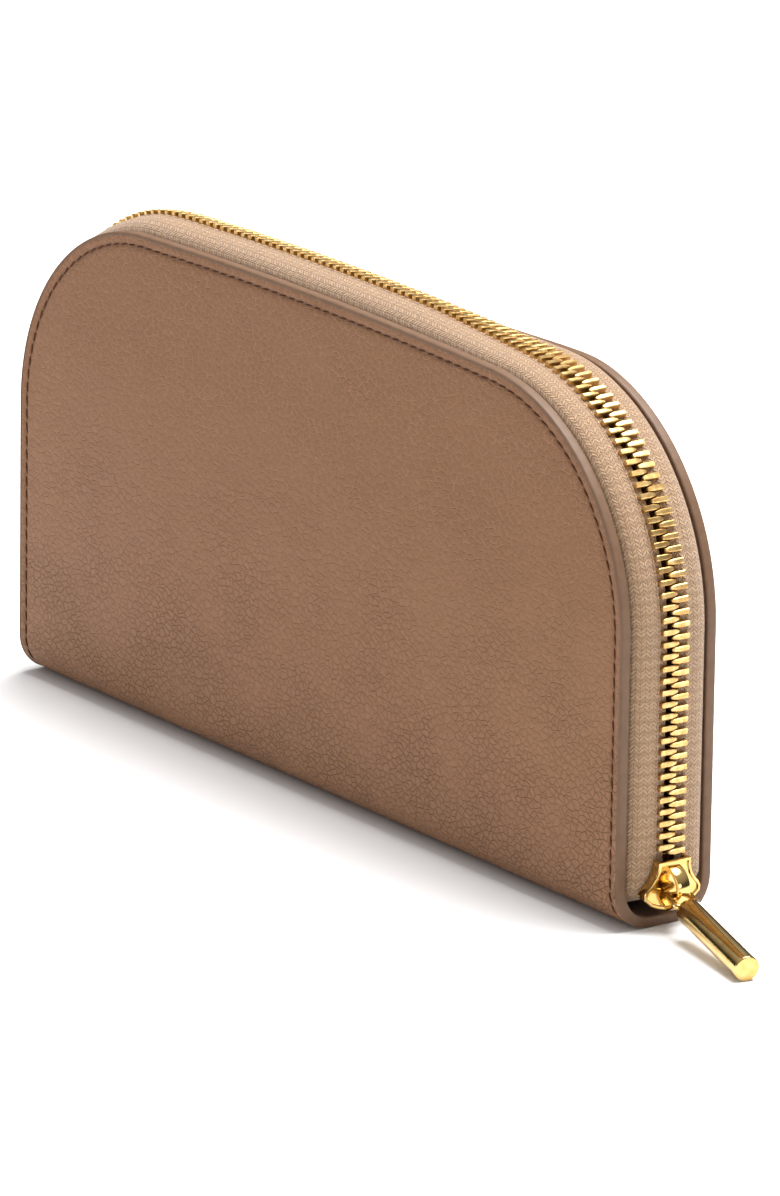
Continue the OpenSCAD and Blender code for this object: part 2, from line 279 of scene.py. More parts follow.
def pebbledLeather(settings):
    material, tree, shader = newFinish("pebbledLeather", settings["color"],
                                       settings["roughness"], Specular_IOR_Level=0.2)
    place = mapPlace(tree)
    drift = addNode(tree, "ShaderNodeTexNoise", {"Vector": place, "Scale": 0.45, "Detail": 3.0})
    pushed = addNode(tree, "ShaderNodeVectorMath",
                     {0: drift.outputs["Color"], 1: (1.9, 1.9, 0), 2: place},
                     operation="MULTIPLY_ADD").outputs[0]
    stretched = addNode(tree, "ShaderNodeMapping",
                        {"Vector": pushed, "Rotation": (0, 0, 0.6),
                         "Scale": (1.0, 1.25, 1)}).outputs[0]
    edges = addNode(tree, "ShaderNodeTexVoronoi",
                    {"Vector": stretched, "Scale": settings["cellsPerMm"]},
                    voronoi_dimensions="2D", feature="DISTANCE_TO_EDGE").outputs["Distance"]
    tiny = addNode(tree, "ShaderNodeTexVoronoi",
                   {"Vector": stretched, "Scale": settings["cellsPerMm"] * 2.3},
                   voronoi_dimensions="2D", feature="DISTANCE_TO_EDGE").outputs["Distance"]
    hills = addNode(tree, "ShaderNodeTexVoronoi",
                    {"Vector": stretched, "Scale": settings["cellsPerMm"], "Smoothness": 0.6},
                    voronoi_dimensions="2D", feature="SMOOTH_F1").outputs["Distance"]
    crease = mapRange(tree, edges, 0.0, 0.12)
    fineCrease = mapRange(tree, tiny, 0.0, 0.14)
    strength = mapRange(tree, noiseValue(tree, place, 0.06, 2.0), 0.35, 0.65, 0.55, 1.0)
    across = addNode(tree, "ShaderNodeSeparateXYZ", {0: place}).outputs["Y"]
    base = mapRange(tree, addMath(tree, "ABSOLUTE", across), *settings["baseReach"], 1.0, 0.0)
    topRelief = settings["topRelief"]
    relief = addMath(tree, "MULTIPLY_ADD", base, 1 - topRelief, topRelief)
    dome = mapRange(tree, hills, 0.0, 0.9, 1.0, 0.0)
    height = addMath(tree, "MULTIPLY_ADD", crease, 0.5, addMath(tree, "MULTIPLY", dome, 0.4))
    height = addMath(tree, "MULTIPLY_ADD", fineCrease, 0.16, height)
    height = addMath(tree, "MULTIPLY", height, strength)
    height = addMath(tree, "MULTIPLY", height, relief)
    pores = noiseValue(tree, place, 6.0, 2.0)
    height = addMath(tree, "MULTIPLY_ADD", pores, 0.07, height)
    addBump(tree, shader, height, settings["creaseDepth"])
    cloudy = mapRange(tree, noiseValue(tree, place, 0.05, 3.0), 0.35, 0.7)
    color = mixColor(tree, addMath(tree, "MULTIPLY", cloudy, 0.35),
                     settings["color"], settings["pale"])
    # painted light: the colour turns lighter towards the base
    color = mixColor(tree, base, color, settings["paintedBaseLight"])
    # crease lines painted with light and shade: a pale painted highlight towards the top, dark painted
    # shade near the base
    line = addMath(tree, "MULTIPLY", addMath(tree, "SUBTRACT", 1.0, crease), 0.55)
    creaseLightAndShade = mixColor(tree, base, settings["crease"], settings["deep"])
    color = mixColor(tree, addMath(tree, "MULTIPLY", line, strength), color, creaseLightAndShade)
    mottle = mapRange(tree, noiseValue(tree, place, 0.9, 3.0), 0.42, 0.62, 0.0, 0.16)
    color = mixColor(tree, mottle, color, settings["deep"])
    seamShade = addNode(tree, "ShaderNodeAttribute", attribute_name="seamShade").outputs["Fac"]
    # painted shade along the seam's groove
    color = mixColor(tree, addMath(tree, "MULTIPLY", seamShade, 0.5), color, settings["seam"])
    tree.links.new(color, shader.inputs["Base Color"])
    roughness = settings["roughness"]
    gloss = mapRange(tree, pores, 0.3, 0.7, roughness - 0.05, roughness + 0.07)
    tree.links.new(gloss, shader.inputs["Roughness"])
    return material


edgePaintSettings = {"color": linear(104, 78, 58), "deep": linear(96, 71, 52), "roughness": 0.52}


def paintedEdge(settings):
    material, tree, shader = newFinish("paintedEdge", settings["color"], settings["roughness"],
                                       Specular_IOR_Level=0.3)
    place = objectPlace(tree)
    worn = mapRange(tree, noiseValue(tree, place, 0.5, 4.0), 0.4, 0.7)
    tree.links.new(mixColor(tree, worn, settings["color"], settings["deep"]),
                   shader.inputs["Base Color"])
    addBump(tree, shader, noiseValue(tree, place, 0.8, 2.0), 0.00004)
    return material


threadSettings = {"color": linear(64, 36, 23), "pale": linear(88, 54, 36)}


def waxedThread(settings):
    material, tree, shader = newFinish("waxedThread", settings["color"], 0.75,
                                       Specular_IOR_Level=0.15)
    place = objectPlace(tree)
    strands = addNode(tree, "ShaderNodeTexWave",
                      {"Vector": place, "Scale": 1.4, "Distortion": 1.5}, wave_type="BANDS",
                      bands_direction="DIAGONAL").outputs["Fac"]
    tree.links.new(mixColor(tree, strands, settings["color"], settings["pale"]),
                   shader.inputs["Base Color"])
    addBump(tree, shader, strands, 0.00005)
    return material


tapeSettings = {
    "color": linear(168, 134, 99),
    "deep": linear(106, 76, 49),
    "pale": linear(190, 157, 122),
    "column": 0.92,     # width of one slanting column, in millimetres
    "pitch": 0.8,       # distance from one rib to the next along the tape
    "group": 2.03,      # every so often a deeper groove
}


def herringbone(settings):
    material, tree, shader = newFinish("herringboneTape", settings["color"], 0.72,
                                       Sheen_Weight=0.25)
    place = mapPlace(tree)
    apart = addNode(tree, "ShaderNodeSeparateXYZ", {0: place})
    along, across = apart.outputs["X"], apart.outputs["Y"]
    slant = addMath(tree, "PINGPONG", across, settings["column"])
    phase = addMath(tree, "DIVIDE", addMath(tree, "MULTIPLY_ADD", slant, 0.95, along),
                    settings["pitch"])
    wander = noiseValue(tree, place, 1.4, 3.0)
    phase = addMath(tree, "MULTIPLY_ADD", wander, 0.9, phase)
    rib = mapRange(tree, addMath(tree, "PINGPONG", phase, 0.5), 0.02, 0.34)
    cut = mapRange(tree, slant, 0.0, 0.12)
    cutOther = mapRange(tree, addMath(tree, "PINGPONG",
                                      addMath(tree, "ADD", across, settings["column"]),
                                      settings["column"]), 0.0, 0.12)
    height = addMath(tree, "MULTIPLY", rib, addMath(tree, "MINIMUM", cut, cutOther))
    group = addMath(tree, "DIVIDE", addMath(tree, "MULTIPLY_ADD", slant, 0.5, along),
                    settings["group"])
    groove = mapRange(tree, addMath(tree, "PINGPONG", group, 0.5), 0.06, 0.3, 0.35, 1.0)
    height = addMath(tree, "MULTIPLY", height, groove)
    fuzz = noiseValue(tree, place, 7.0, 2.0)
    addBump(tree, shader, addMath(tree, "MULTIPLY_ADD", fuzz, 0.6, height), 0.00016)
    color = mixColor(tree, height, settings["deep"], settings["color"])
    color = mixColor(tree, mapRange(tree, fuzz, 0.48, 0.7), color, settings["pale"])
    tree.links.new(color, shader.inputs["Base Color"])
    return material


brassSettings = {"color": linear(192, 154, 94), "worn": linear(216, 184, 126)}


def brushedBrass(settings):
    material, tree, shader = newFinish("toothBrass", settings["color"], 0.24, Metallic=1.0)
    place = objectPlace(tree)
    spots = mapRange(tree, noiseValue(tree, place, 0.9, 3.0), 0.4, 0.65)
    tree.links.new(mixColor(tree, spots, settings["color"], settings["worn"]),
                   shader.inputs["Base Color"])
    rough = mapRange(tree, noiseValue(tree, place, 3.0, 2.0), 0.3, 0.7, 0.3, 0.42)
    tree.links.new(rough, shader.inputs["Roughness"])
    addBump(tree, shader, noiseValue(tree, place, 2.2, 2.0), 0.000004)
    return material


polishSettings = {"color": linear(211, 180, 118), "deep": linear(198, 162, 96)}


def polishedGold(settings):
    material, tree, shader = newFinish("polishedGold", settings["color"], 0.09, Metallic=1.0)
    place = objectPlace(tree)
    cloud = mapRange(tree, noiseValue(tree, place, 0.35, 2.0), 0.35, 0.65)
    tree.links.new(mixColor(tree, cloud, settings["color"], settings["deep"]),
                   shader.inputs["Base Color"])
    scratch = addNode(tree, "ShaderNodeMapping",
                      {"Vector": place, "Rotation": (0.3, 0.2, -0.24),
                       "Scale": (0.4, 6.0, 6.0)}).outputs[0]
    lines = noiseValue(tree, scratch, 1.5, 3.0)
    rough = mapRange(tree, lines, 0.35, 0.75, 0.09, 0.19)
    tree.links.new(rough, shader.inputs["Roughness"])
    addBump(tree, shader, lines, 0.000003)
    return material


def smoothLeather(name, color, deep, cells):
    material, tree, shader = newFinish(name, color, 0.55, Sheen_Weight=0.1)
    place = objectPlace(tree)
    grain = addNode(tree, "ShaderNodeTexVoronoi", {"Vector": place, "Scale": cells},
                    feature="DISTANCE_TO_EDGE").outputs["Distance"]
    crease = mapRange(tree, grain, 0.0, 0.2)
    addBump(tree, shader, crease, 0.00005)
    cloudy = mapRange(tree, noiseValue(tree, place, 0.12, 3.0), 0.35, 0.65, 0.0, 0.3)
    shaded = mixColor(tree, cloudy, color, deep)
    shade = addMath(tree, "MULTIPLY", addMath(tree, "SUBTRACT", 1.0, crease), 0.35)
    tree.links.new(mixColor(tree, shade, shaded, deep), shader.inputs["Base Color"])
    return material


def twillCloth(name, color, deep, pitch):
    material, tree, shader = newFinish(name, color, 0.75, Sheen_Weight=0.3)
    place = objectPlace(tree)
    apart = addNode(tree, "ShaderNodeSeparateXYZ", {0: place})
    slope = addMath(tree, "ADD", apart.outputs["X"], apart.outputs["Z"])
    phase = addMath(tree, "DIVIDE", slope, pitch)
    rib = addMath(tree, "MULTIPLY", addMath(tree, "PINGPONG", phase, 0.5), 2.0)
    fuzz = noiseValue(tree, place, 5.0, 2.0)
    addBump(tree, shader, addMath(tree, "MULTIPLY_ADD", fuzz, 0.5, rib), 0.00006)
    share = mapRange(tree, addMath(tree, "MULTIPLY_ADD", fuzz, 0.6, rib), 0.2, 1.3)
    tree.links.new(mixColor(tree, share, deep, color), shader.inputs["Base Color"])
    return material


finishes = {
    "leather": pebbledLeather(pebbled),
    "edge": paintedEdge(edgePaintSettings),
    "thread": waxedThread(threadSettings),
    "tape": herringbone(tapeSettings),
    "brass": brushedBrass(brassSettings),
    "gold": polishedGold(polishSettings),
    "suede": smoothLeather("suedeBacking", linear(128, 96, 76), linear(104, 76, 58), 3.2),
    "card": smoothLeather("cardLeather", linear(156, 120, 96), linear(136, 102, 80), 1.6),
    "lining": twillCloth("liningTwill", linear(170, 138, 112), linear(138, 108, 86), 0.9),
}
print("finishes ready")


# ---- shared shapes

def finishPiece(name, bm, finish, smooth=35):
    bmesh.ops.scale(bm, vec=(mm, mm, mm), verts=bm.verts[:])
    mesh = bpy.data.meshes.new(name)
    bm.to_mesh(mesh)
    bm.free()
    mesh.materials.append(finishes[finish])
    mesh.shade_smooth()
    mesh.set_sharp_from_angle(angle=math.radians(smooth))
    piece = bpy.data.objects.new(name, mesh)
    scene.collection.objects.link(piece)
    return piece


def vertsIn(geom):
    return [item for item in geom if isinstance(item, bmesh.types.BMVert)]


def edgesIn(geom):
    return [item for item in geom if isinstance(item, bmesh.types.BMEdge)]


def facesIn(geom):
    return [item for item in geom if isinstance(item, bmesh.types.BMFace)]


def allOf(bm):
    return bm.verts[:] + bm.edges[:] + bm.faces[:]


def roundOff(bm, parts, offset, segments, affect="EDGES"):
    bmesh.ops.bevel(bm, geom=parts, offset=offset, offset_type="OFFSET", segments=segments,
                    profile=0.5, affect=affect, material=-1)


def ease(low, high, value):
    share = min(max((value - low) / (high - low), 0), 1)
    return share * share * (3 - 2 * share)


def pathLength(grow, low):
    side = cornerZ - low
    bend = (cornerRadius + grow) * crownTurn
    return 2 * (side + bend) + (crownRadius + grow) * (math.pi - 2 * crownTurn)


def pathPoint(run, grow, low):
    # up the right side, over the top and down the left: x, z and the outward angle
    side = cornerZ - low
    bend = (cornerRadius + grow) * crownTurn
    top = (crownRadius + grow) * (math.pi - 2 * crownTurn)
    if run <= side:
        return halfWidth + grow, low + run, 0.0
    run -= side
    if run <= bend:
        turn = run / (cornerRadius + grow)
        return (cornerX + (cornerRadius + grow) * math.cos(turn),
                cornerZ + (cornerRadius + grow) * math.sin(turn), turn)
    run -= bend
    if run <= top:
        turn = crownTurn + run / (crownRadius + grow)
        return ((crownRadius + grow) * math.cos(turn),
                crownZ + (crownRadius + grow) * math.sin(turn), turn)
    run -= top
    if run <= bend:
        turn = math.pi - crownTurn + run / (cornerRadius + grow)
        return (-cornerX + (cornerRadius + grow) * math.cos(turn),
                cornerZ + (cornerRadius + grow) * math.sin(turn), turn)
    return -halfWidth - grow, cornerZ - (run - bend), math.pi


def onPath(run, grow, low):
    x, z, turn = pathPoint(run, grow, low)
    return Matrix.Translation((x, 0, z)) @ Matrix.Rotation(-turn, 4, "Y")


def edgeGap(x, v):
    # distance from a point of the flat sheet to its outline
    x, v = abs(x), abs(v)
    fromCorner = Vector((x - cornerX, v - cornerZ - flatShift))
    if fromCorner.x > 0 and 0 < math.atan2(fromCorner.y, fromCorner.x) <= crownTurn:
        return cornerRadius - fromCorner.length
    return min(halfWidth - x, crownRadius - math.hypot(x, v - crownZ - flatShift))


outlineSteps = {"base": 3, "fold": 12, "side": 24, "corner": 34, "top": 26}


def flatOutline(bm, inset):
    # one quarter of the outline, mirrored twice: x across, y from the rear edge to the front edge
    steps = outlineSteps
    vert = bm.verts.new((halfWidth - inset, 0, 0))
    for count, length in ((steps["base"], foldFlat), (steps["fold"], foldLength),
                          (steps["side"], cornerZ - foldRadius)):
        for _ in range(count):
            vert = bmesh.ops.extrude_vert_indiv(bm, verts=[vert])["verts"][0]
            bmesh.ops.translate(bm, verts=[vert], vec=(0, length / count, 0))
    for centre, turn, count in (((cornerX, cornerZ + flatShift, 0), crownTurn, steps["corner"]),
                                ((0, crownZ + flatShift, 0), math.pi / 2 - crownTurn,
                                 steps["top"])):
        spun = bmesh.ops.spin(bm, geom=[vert], cent=centre, axis=(0, 0, 1), angle=turn,
                              steps=count)
        vert = spun["geom_last"][0]
    for axis in "XY":
        bmesh.ops.mirror(bm, geom=bm.verts[:] + bm.edges[:], axis=axis, merge_dist=0.01)
    return bmesh.ops.contextual_create(bm, geom=bm.edges[:])["faces"][0]


def flatSheet(rings, depth):
    # rings follow the outline, a grid fills the middle, and the sheet gets its thickness
    bm = bmesh.new()
    face = flatOutline(bm, rings[0])
    for near, far in zip(rings, rings[1:]):
        bmesh.ops.inset_region(bm, faces=[face], thickness=far - near,
                               use_boundary=True, use_even_offset=True)
    rim = list(face.edges)
    bmesh.ops.delete(bm, geom=[face], context="FACES_ONLY")
    ends = []
    for edge in rim:
        middle = (edge.verts[0].co + edge.verts[1].co) / 2
        if abs(middle.y) - cornerZ - flatShift > abs(middle.x) - cornerX:
            ends.append(edge)
    bmesh.ops.grid_fill(bm, edges=ends, use_interp_simple=True)
    giveDepth(bm, depth)
    return bm


def giveDepth(bm, depth):
    made = bmesh.ops.extrude_face_region(bm, geom=bm.faces[:])["geom"]
    bmesh.ops.translate(bm, verts=vertsIn(made), vec=(0, 0, -depth))
    bmesh.ops.recalc_face_normals(bm, faces=bm.faces[:])


def mapFlat(bm):
    # the sheet's own flat coordinates, in metres, for its grain
    layer = bm.loops.layers.uv.new("flat")
    for face in bm.faces:
        for loop in face.loops:
            loop[layer].uv = (loop.vert.co.x * mm, loop.vert.co.y * mm)


def wrapSheet(bm, proud=None):
    # bends the flat sheet round the bottom fold; proud gives how far the outer face stands out
    for vert in bm.verts:
        x, v, out = vert.co
        if proud is not None and out > -0.01:
            out += proud(x, v)
        side = -1 if v > 0 else 1
        run = abs(v)
        if run <= foldFlat:
            vert.co = (x, side * run, -out)
        elif run <= foldFlat + foldLength:
            turn = (run - foldFlat) / foldRadius
            vert.co = (x, side * (foldFlat + (foldRadius + out) * math.sin(turn)),
                       foldRadius - (foldRadius + out) * math.cos(turn))
        else:
            vert.co = (x, side * (halfDepth + out), run - flatShift)


def shadeSeam(bm):
    # marks the seam's groove, where painted shade makes the leather darker
    layer = bm.verts.layers.float.new("seamShade")
    for vert in bm.verts:
        gap = edgeGap(vert.co.x, vert.co.y)
        vert[layer] = math.exp(-((gap - wallet["seamInset"]) / 0.3) ** 2)


slump = {
    # depth and lift: the zip leans back along the top and the rear half sits lower there
    "lift": [(-11, 0), (-8.85, 0), (-6, 0.95), (-3.05, 1.45), (0, 0.85), (3.05, 0.0),
             (6, -0.95), (8.85, -1.8), (12, -2.1)],
    "left": (-88, -50),
    "right": (20, 66),
    "rise": (40, 98),
}


def slumpTop(bm):
    for vert in bm.verts:
        x, y, z = vert.co
        share = ease(*slump["left"], x) * (1 - ease(*slump["right"], x)) * ease(*slump["rise"], z)
        if share > 0:
            for (y0, lift0), (y1, lift1) in zip(slump["lift"], slump["lift"][1:]):
                if y0 < y <= y1:
                    vert.co.z += share * (lift0 + (lift1 - lift0) * (y - y0) / (y1 - y0))


def bendOverFold(piece):
    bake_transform(piece)


# ---- outer leather: front, bottom fold and rear in one sheet

shell = {
    "rings": [0.5, 0.7, 1.0, 1.4, 1.8, 2.1, 2.25, 2.4, 2.55, 2.7, 3.1, 3.7, 4.6, 6.0, 8.0, 11.0],
    "lip": -0.06,             # where the leather dips under the edge paint
    "lipReach": (0.5, 1.1),
    "seamDip": -0.24,
    "seamReach": 0.55,
    "roll": 0.22,             # the leather rises again inside the seam
    "rollReach": (2.6, 9),
    "crown": 0.75,            # fullness in the middle of a panel
    "crownReach": (6, 46),
    "aboveFold": (-4, 22),    # the fullness fades towards the bottom fold
}


def shellProud(x, v):
    gap = edgeGap(x, v)
    out = shell["lip"] * (1 - ease(*shell["lipReach"], gap))
    out += shell["seamDip"] * math.exp(-((gap - wallet["seamInset"]) / shell["seamReach"]) ** 2)
    up = ease(*shell["aboveFold"], abs(v) - foldFlat - foldLength)
    out += shell["roll"] * ease(*shell["rollReach"], gap) * up
    out += shell["crown"] * ease(*shell["crownReach"], gap) * up
    return out


shellBm = flatSheet(shell["rings"], wallet["leather"])
shellArea = sum(f.calc_area() for f in shellBm.faces if f.normal.z > 0.5) * mm ** 2
mapFlat(shellBm)
shadeSeam(shellBm)
wrapSheet(shellBm, shellProud)
slumpTop(shellBm)
leatherShell = finishPiece("leatherShell", shellBm, "leather", smooth=50)
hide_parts("front_panel", "front_fold", "bottom_fold", "rear_panel")
bendOverFold(leatherShell)

backingBm = flatSheet([0.6, 3.0, 8.0], wallet["backing"])
bmesh.ops.translate(backingBm, verts=backingBm.verts[:], vec=(0, 0, -wallet["leather"] - 0.01))
mapFlat(backingBm)
wrapSheet(backingBm)
slumpTop(backingBm)
leatherBacking = finishPiece("leatherBacking", backingBm, "suede", smooth=50)
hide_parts("front_backing", "rear_backing")
bendOverFold(leatherBacking)

paintBead = {"width": 0.65, "outerRound": 0.5, "innerRound": 0.45, "proud": 0.03}


def makeEdgePaint(settings):
    bm = bmesh.new()
    face = flatOutline(bm, 0)
    bmesh.ops.inset_region(bm, faces=[face], thickness=settings["width"],
                           use_boundary=True, use_even_offset=True)
    bmesh.ops.delete(bm, geom=[face], context="FACES_ONLY")
    bmesh.ops.translate(bm, verts=bm.verts[:], vec=(0, 0, settings["proud"]))
    giveDepth(bm, sheetThick + 2 * settings["proud"])
    for level, rounding in ((settings["proud"], settings["outerRound"]),
                            (-sheetThick - settings["proud"], settings["innerRound"])):
        edges = [e for e in bm.edges if all(
            abs(v.co.z - level) < 0.01 and edgeGap(v.co.x, v.co.y) < 0.02 for v in e.verts)]
        roundOff(bm, edges, rounding, 4)
    mapFlat(bm)
    wrapSheet(bm)
    slumpTop(bm)
    piece = finishPiece("edgePaint", bm, "edge", smooth=50)
    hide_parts("front_edge_paint", "rear_edge_paint", "fold_edge_paint")
    bendOverFold(piece)


makeEdgePaint(paintBead)
print("leather ready")

seam = {
    "pitch": 2.75,
    "length": 2.25,
    "width": 0.37,
    "height": 0.42,
    "sunk": -0.18,
    "slant": 0.13,
    "lowest": 10.0,    # how far from the middle of the base the seam starts, on the flat sheet
}


def makeSeam(settings):
    bm = bmesh.new()
    grow = -wallet["seamInset"]
    low = settings["lowest"] - flatShift
    total = pathLength(grow, low)
    count = int(total / settings["pitch"])
    size = Matrix.Diagonal((settings["width"] / 2, settings["length"] / 2, settings["height"] / 2, 1))
    for half in (1, -1):
        for i in range(count):
            x, z, turn = pathPoint((i + 0.5) * total / count, grow, low)
            place = Matrix.Translation((x, half * (z + flatShift), settings["sunk"]))
            lean = Matrix.Rotation(half * (turn + settings["slant"]), 4, "Z")
            bmesh.ops.create_uvsphere(bm, u_segments=8, v_segments=6, radius=1,
                                      matrix=place @ lean @ size)
    wrapSheet(bm)
    slumpTop(bm)
    bmesh.ops.recalc_face_normals(bm, faces=bm.faces[:])
    piece = finishPiece("seamStitches", bm, "thread", smooth=80)
    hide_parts("front_stitching", "rear_stitching")
    bendOverFold(piece)


makeSeam(seam)
print("seam ready")


# ---- zip tape

tape = {
    "thick": 0.45,
    "low": 4.4,          # the tape's hidden end inside the bottom corner
    "turnIn": 9.6,       # below this height the tape turns inwards
    "inward": 5.0,
    "steps": 230,
    "section": [(-7.0, 8.62), (-3.5, 8.62), (-1.4, 8.6), (-0.5, 8.35), (0.1, 7.95), (0.6, 7.4),
                (0.95, 6.7), (1.15, 5.9), (1.25, 5.1), (1.27, 4.3), (1.2, 3.75), (1.32, 3.45),
                (1.34, 3.15), (1.12, 2.9), (1.08, 2.2), (1.08, 1.45)],
}


def sectionLengths(section):
    lengths = [0.0]
    for first, second in zip(section, section[1:]):
        lengths.append(lengths[-1] + math.hypot(second[0] - first[0], second[1] - first[1]))
    return lengths


def makeTape(name, side, node, body, settings):
    section = settings["section"]
    lengths = sectionLengths(section)
    total = pathLength(0, settings["low"])
    steps = settings["steps"]
    bm = bmesh.new()
    bmesh.ops.create_grid(bm, x_segments=steps, y_segments=len(section) - 1, size=0.5)
    layer = bm.loops.layers.uv.new("flat")
    for face in bm.faces:
        for loop in face.loops:
            step = round((loop.vert.co.x + 0.5) * steps)
            row = round((loop.vert.co.y + 0.5) * (len(section) - 1))
            loop[layer].uv = (step * total / steps * mm, lengths[row] * mm)
    for vert in bm.verts:
        run = (vert.co.x + 0.5) * total
        grow, y = section[round((vert.co.y + 0.5) * (len(section) - 1))]
        x, z, turn = pathPoint(run, 0, settings["low"])
        under = max(0.0, settings["turnIn"] - z) / (settings["turnIn"] - settings["low"])
        grow -= settings["inward"] * under ** 2
        if z < foldRadius:
            room = foldFlat + math.sqrt((foldRadius - sheetThick) ** 2 - (foldRadius - z) ** 2)
            y *= min(1.0, (room - 0.25) / 8.62)
        vert.co = (x + grow * math.cos(turn), side * y, z + grow * math.sin(turn))
    bmesh.ops.recalc_face_normals(bm, faces=bm.faces[:])
    outer = max(bm.faces, key=lambda face: face.calc_center_median().x)
    if outer.normal.x < 0:
        bmesh.ops.reverse_faces(bm, faces=bm.faces[:])
    bmesh.ops.solidify(bm, geom=bm.faces[:], thickness=settings["thick"])
    slumpTop(bm)
    piece = finishPiece(name, bm, "tape", smooth=60)
    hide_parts(node)
    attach(piece, body)


makeTape("frontTape", -1, "front_zip_tape", "front_half", tape)
makeTape("rearTape", 1, "rear_zip_tape", "rear_half", tape)
print("tapes ready")


# ---- zip teeth

teeth = {
    "pitch": 2.3,
    "foot": 3.05,
    "head": 0.75,
    "out": 2.4,
    "along": 1.06,
    "headAlong": 0.7,
    "headOut": 1.9,
    "round": 0.17,
    "grow": 1.075,
    "runLow": 14.7,
    "runCount": 16,
    "leftLow": 9.0,
}


def oneTooth(bm, settings):
    made = bmesh.ops.create_cube(bm, size=1)["verts"]
    long = settings["foot"] + settings["head"]
    bmesh.ops.scale(bm, vec=(settings["out"], long, settings["along"]), verts=made)
    bmesh.ops.translate(bm, vec=(0, (settings["head"] - settings["foot"]) / 2, 0), verts=made)
    bmesh.ops.bisect_plane(bm, geom=allOf(bm), plane_co=(0, -0.5, 0), plane_no=(0, 1, 0))
    tip = [v for v in bm.verts if v.co.y > settings["head"] - 0.01]
    bmesh.ops.scale(bm, vec=(settings["headOut"] / settings["out"], 1,
                             settings["headAlong"] / settings["along"]), verts=tip)
    edges = [e for e in bm.edges if e.calc_face_angle(0) > 0.6]
    roundOff(bm, edges, settings["round"], 1)


def makeTeeth(name, side, shift, nodes, body, settings):
    bm = bmesh.new()
    oneTooth(bm, settings)
    tooth = allOf(bm)
    archLow = settings["runLow"] + settings["runCount"] * settings["pitch"]
    total = pathLength(settings["grow"], settings["runLow"])
    leftRun = total - (settings["leftLow"] - settings["runLow"])
    archTotal = leftRun - (archLow - settings["runLow"])
    count = settings["runCount"] + int(archTotal / settings["pitch"])
    for i in range(count):
        copy = bmesh.ops.duplicate(bm, geom=tooth)["geom"]
        place = onPath((i + shift) * settings["pitch"], settings["grow"], settings["runLow"])
        bmesh.ops.transform(bm, matrix=place, verts=vertsIn(copy))
    bmesh.ops.delete(bm, geom=vertsIn(tooth), context="VERTS")
    bmesh.ops.scale(bm, vec=(1, -side, 1), verts=bm.verts[:])
    slumpTop(bm)
    bmesh.ops.recalc_face_normals(bm, faces=bm.faces[:])
    piece = finishPiece(name, bm, "brass", smooth=22)
    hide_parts(*nodes)
    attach(piece, body)


makeTeeth("frontTeeth", -1, 0.5, ("front_zip_teeth", "front_teeth_run"), "front_half", teeth)
makeTeeth("rearTeeth", 1, 0.0, ("rear_zip_teeth", "rear_teeth_run"), "rear_half", teeth)
print("teeth ready")


endStop = {"height": 8.6, "y": (1.3, 2.8), "thick": 1.3, "tall": 1.3, "round": 0.25}


def makeEndStop(settings):
    # crimped over the chain edge of the rear tape's tail, inside the slider
    under = (tape["turnIn"] - settings["height"]) / (tape["turnIn"] - tape["low"])
    x = halfWidth + tape["section"][-1][0] - tape["inward"] * under ** 2 - tape["thick"] / 2
    slope = math.atan(2 * tape["inward"] * under / (tape["turnIn"] - tape["low"]))
    low, high = settings["y"]
    bm = bmesh.new()
    made = bmesh.ops.create_cube(bm, size=1)["verts"]
    bmesh.ops.scale(bm, vec=(settings["thick"], high - low, settings["tall"]), verts=made)
    roundOff(bm, bm.edges[:], settings["round"], 2)
    bmesh.ops.rotate(bm, cent=(0, 0, 0), matrix=Matrix.Rotation(slope, 3, "Y"), verts=bm.verts[:])
    bmesh.ops.translate(bm, vec=(x, (low + high) / 2, settings["height"]), verts=bm.verts[:])
    piece = finishPiece("zipEndStop", bm, "brass", smooth=40)
    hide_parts("zip_end_stop")
    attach(piece, "rear_half")


makeEndStop(endStop)


# ---- slider and puller

slider = {
    "low": 4.2,
    "length": 9.6,
    "wide": 6.4,
    "innerWide": 5.8,
    "throat": 3.7,
    "plate": 0.9,
    "outerX": halfWidth + teeth["grow"] + teeth["out"] / 2 + 0.3,
    "innerX": halfWidth + teeth["grow"] - teeth["out"] / 2 - 0.2,
    "bevel": 0.16,
    "rim": 0.34,
    "dish": 0.34,
    "lean": math.radians(5),   # its wide end sinks a little into the open corner
    "shift": -0.5,
    "wallInset": 0.15,
    "wallThick": 0.6,
    "wedgeRadius": 1.5,
    "wedgeWide": 0.75,
    "wedgeTall": 1.7,
    "wedgeUp": 3.6,
}


def leanSlider(bm):
    turn = Matrix.Rotation(slider["lean"], 3, "Y")
    middle = (slider["outerX"], 0, slider["low"] + slider["length"] / 2)
    bmesh.ops.rotate(bm, cent=middle, matrix=turn, verts=bm.verts[:])
    bmesh.ops.translate(bm, vec=(0, slider["shift"], 0), verts=bm.verts[:])


def platePoints(wide, settings):
    # one half of a plate's outline, from the throat down to the wide end: y and height
    t, z = settings["throat"], settings["low"]
    top = z + settings["length"]
    return [(0, top), (t, top), (t, z + 8.2), (t + 0.5, z + 6.7), (t + 1.25, z + 5.5),
            (wide - 0.5, z + 4.5), (wide, z + 3.6), (wide - 0.05, z + 2.5),
            (wide - 1.5, z + 1.2), (3.1, z + 0.45), (1.3, z), (0, z)]


def plateFace(bm, x, wide, settings):
    verts = [bm.verts.new((x, y, z)) for y, z in platePoints(wide, settings)]
    edges = [bm.edges.new(pair) for pair in zip(verts, verts[1:])]
    made = bmesh.ops.mirror(bm, geom=verts + edges, axis="Y", merge_dist=0.001)["geom"]
    return bmesh.ops.contextual_create(bm, geom=edges + edgesIn(made))["faces"][0]


